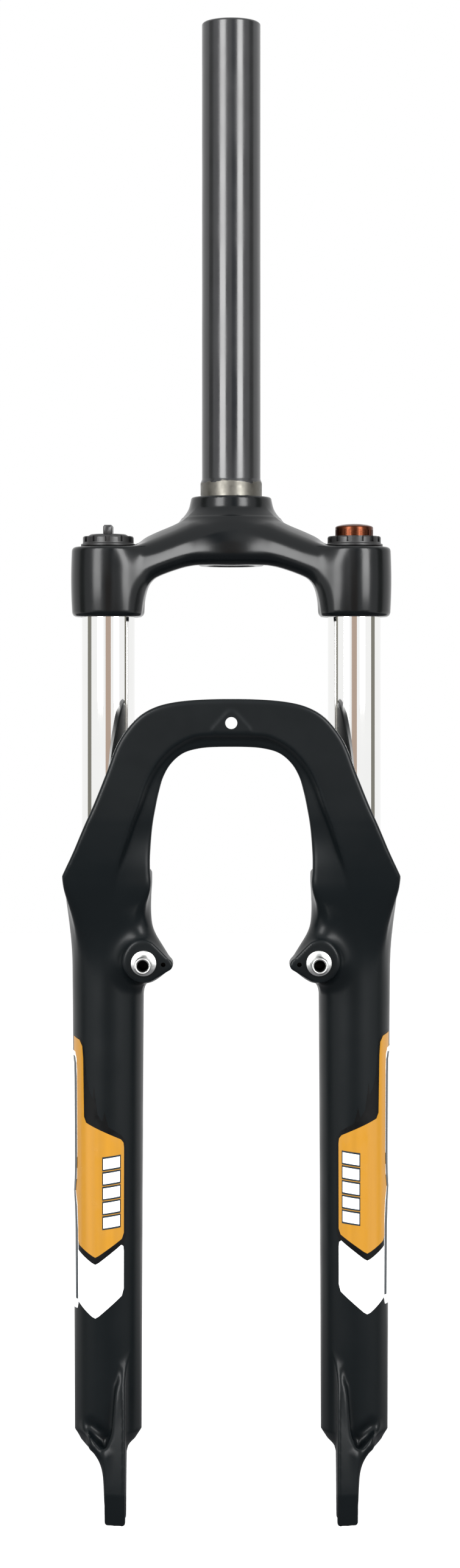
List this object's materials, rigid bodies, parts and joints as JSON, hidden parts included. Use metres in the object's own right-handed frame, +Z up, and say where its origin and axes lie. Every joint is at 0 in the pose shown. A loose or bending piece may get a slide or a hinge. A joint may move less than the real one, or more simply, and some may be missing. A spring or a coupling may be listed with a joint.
{
  "type": "bicycle suspension fork",
  "caption": "Telescopic bicycle front fork: long straight steerer, forged crown, chromed stanchions sliding in cast lower legs with an arch, brake studs and open fork ends.",
  "frame": {"origin": "on the steerer's axis, level with the top of the crown, where the crown race sits", "axes": "+Z up the steerer, +X to the rider's left, front of the bicycle towards -Y"},
  "size_m": [0.1596, 0.0936, 0.724],
  "materials": {
    "steerer": "glossy black",
    "crown": "gloss black paint",
    "stanchion": "polished chrome",
    "lowers": "satin black paint",
    "cap": "satin black",
    "knob": "copper anodised",
    "steel": "bright zinc",
    "rubber": "matt black",
    "nylon": "natural nylon",
    "graphic_gold": "golden vinyl",
    "graphic_white": "white vinyl",
    "graphic_dark": "black vinyl"
  },
  "bodies": {
    "upper": {"steerer_tube": "steerer", "crown": "crown", "stanchion_left": "stanchion", "stanchion_right": "stanchion", "preload_cap": "cap", "lockout_cap": "cap", "preload_cap_seal": "rubber", "lockout_cap_seal": "rubber", "coil_spring": "steel", "spring_rod_guide": "nylon", "damper_cartridge": "steel", "damper_seal_head": "nylon"},
    "lowers": {"lowers_casting": "lowers", "dust_wiper_left": "rubber", "dust_wiper_right": "rubber", "upper_bushing_left": "nylon", "upper_bushing_right": "nylon", "lower_bushing_left": "nylon", "lower_bushing_right": "nylon", "brake_stud_left": "steel", "brake_stud_right": "steel", "spring_rod": "steel", "damper_rod": "steel", "top_out_bumper": "rubber", "bottom_out_bumper_left": "rubber", "bottom_out_bumper_right": "rubber", "foot_washer_left": "steel", "foot_washer_right": "steel", "foot_bolt_left": "steel", "foot_bolt_right": "steel"},
    "preload_knob": {"preload_knob": "knob", "preload_screw": "steel"},
    "preload_nut": {"preload_nut": "nylon"},
    "lockout_lever": {"lockout_lever": "cap", "lockout_spindle": "steel"}
  },
  "joints": [
    {"name": "fork_travel", "type": "slide", "parent": "upper", "child": "lowers", "axis": [0, 0, 1], "range_m": [0, 0.08], "stiffness_N_per_m": 9000, "springref_m": -0.01, "deforming": ["coil_spring"]},
    {"name": "preload_turn", "type": "hinge", "parent": "upper", "child": "preload_knob", "pos_m": [0.059, -0.028, -0.0145], "axis": [0, 0, -1], "range_deg": [0, 1440]},
    {"name": "preload_drive", "type": "slide", "parent": "upper", "child": "preload_nut", "axis": [0, 0, -1], "range_m": [0, 0.006]},
    {"name": "lockout_turn", "type": "hinge", "parent": "upper", "child": "lockout_lever", "pos_m": [-0.059, -0.028, -0.0195], "axis": [0, 0, -1], "range_deg": [0, 90]}
  ],
  "couplings": [
    {"joint": "preload_drive", "follows": "preload_turn", "m_per_rad": 0.0002387}
  ]
}
